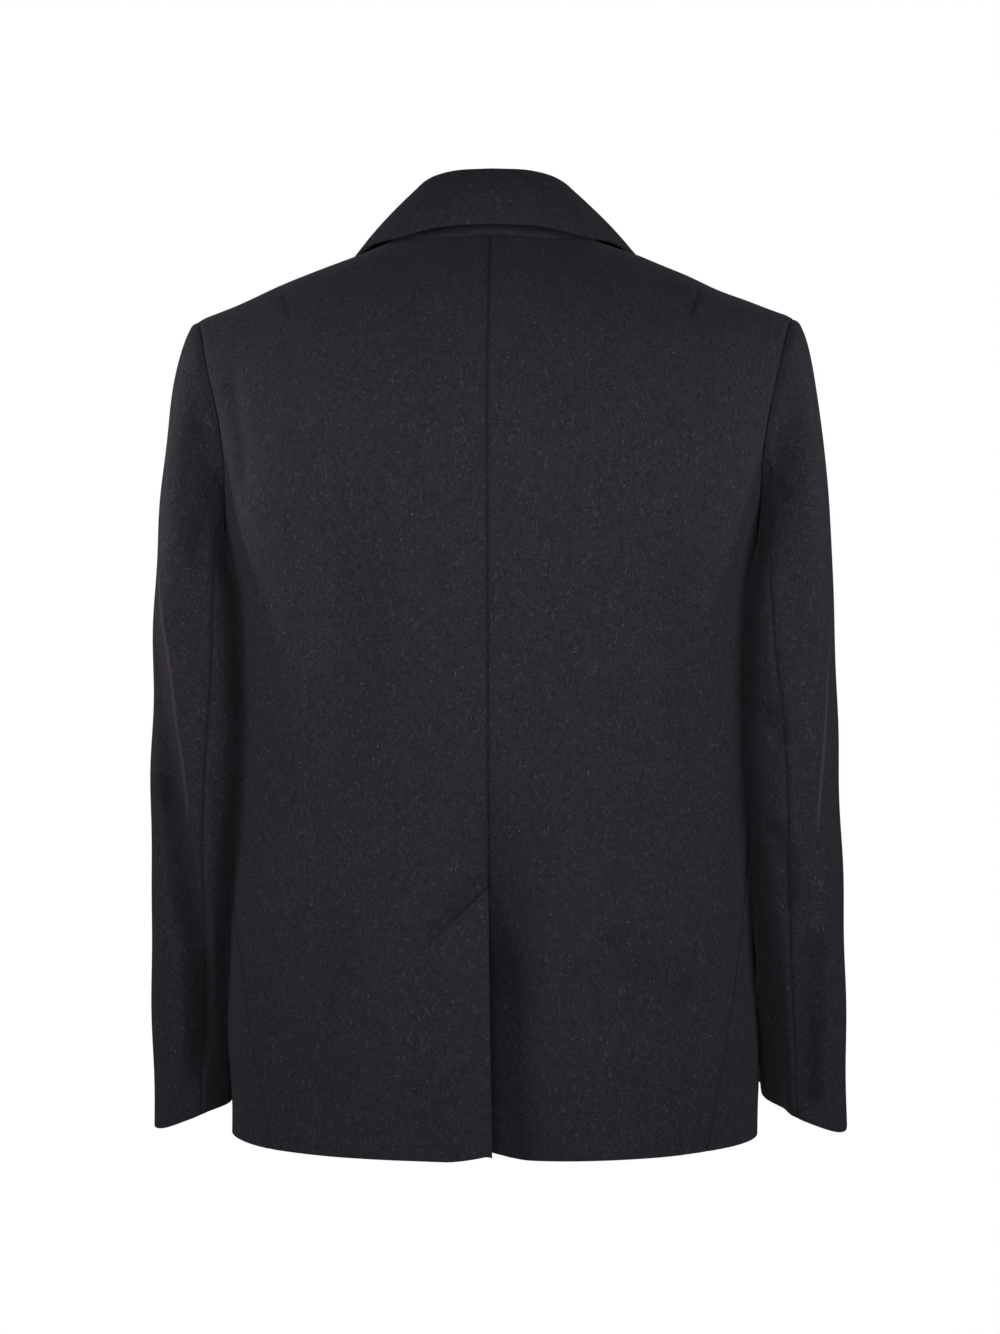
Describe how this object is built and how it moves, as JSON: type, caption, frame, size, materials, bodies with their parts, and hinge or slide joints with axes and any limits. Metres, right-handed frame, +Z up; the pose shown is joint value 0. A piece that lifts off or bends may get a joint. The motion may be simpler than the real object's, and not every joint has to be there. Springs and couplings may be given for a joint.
{
  "type": "pea coat",
  "caption": "Short double-breasted pea coat in dark wool with turned-down collar, wide lapels, two-piece sleeves and a back vent, filled out as worn.",
  "frame": {"origin": "the middle between the two neck points of the shoulder seams, where a wearer's shoulders and neck carry the coat", "axes": "+Z up, the front faces -Y and the back +Y, +X is the wearer's left"},
  "size_m": [0.5363, 0.2771, 0.7388],
  "materials": {
    "wool": "matt felted charcoal wool melton",
    "button": "satin black horn-look plastic"
  },
  "bodies": {
    "root": {"back_left": "wool", "back_right": "wool", "front_left": "wool", "front_right": "wool", "collar": "wool", "lapel_left": "wool", "lapel_right": "wool", "sleeve_top_left": "wool", "sleeve_top_right": "wool", "sleeve_under_left": "wool", "sleeve_under_right": "wool", "button_left_1": "button", "button_left_2": "button", "button_left_3": "button", "button_right_1": "button", "button_right_2": "button", "button_right_3": "button"}
  },
  "joints": []
}
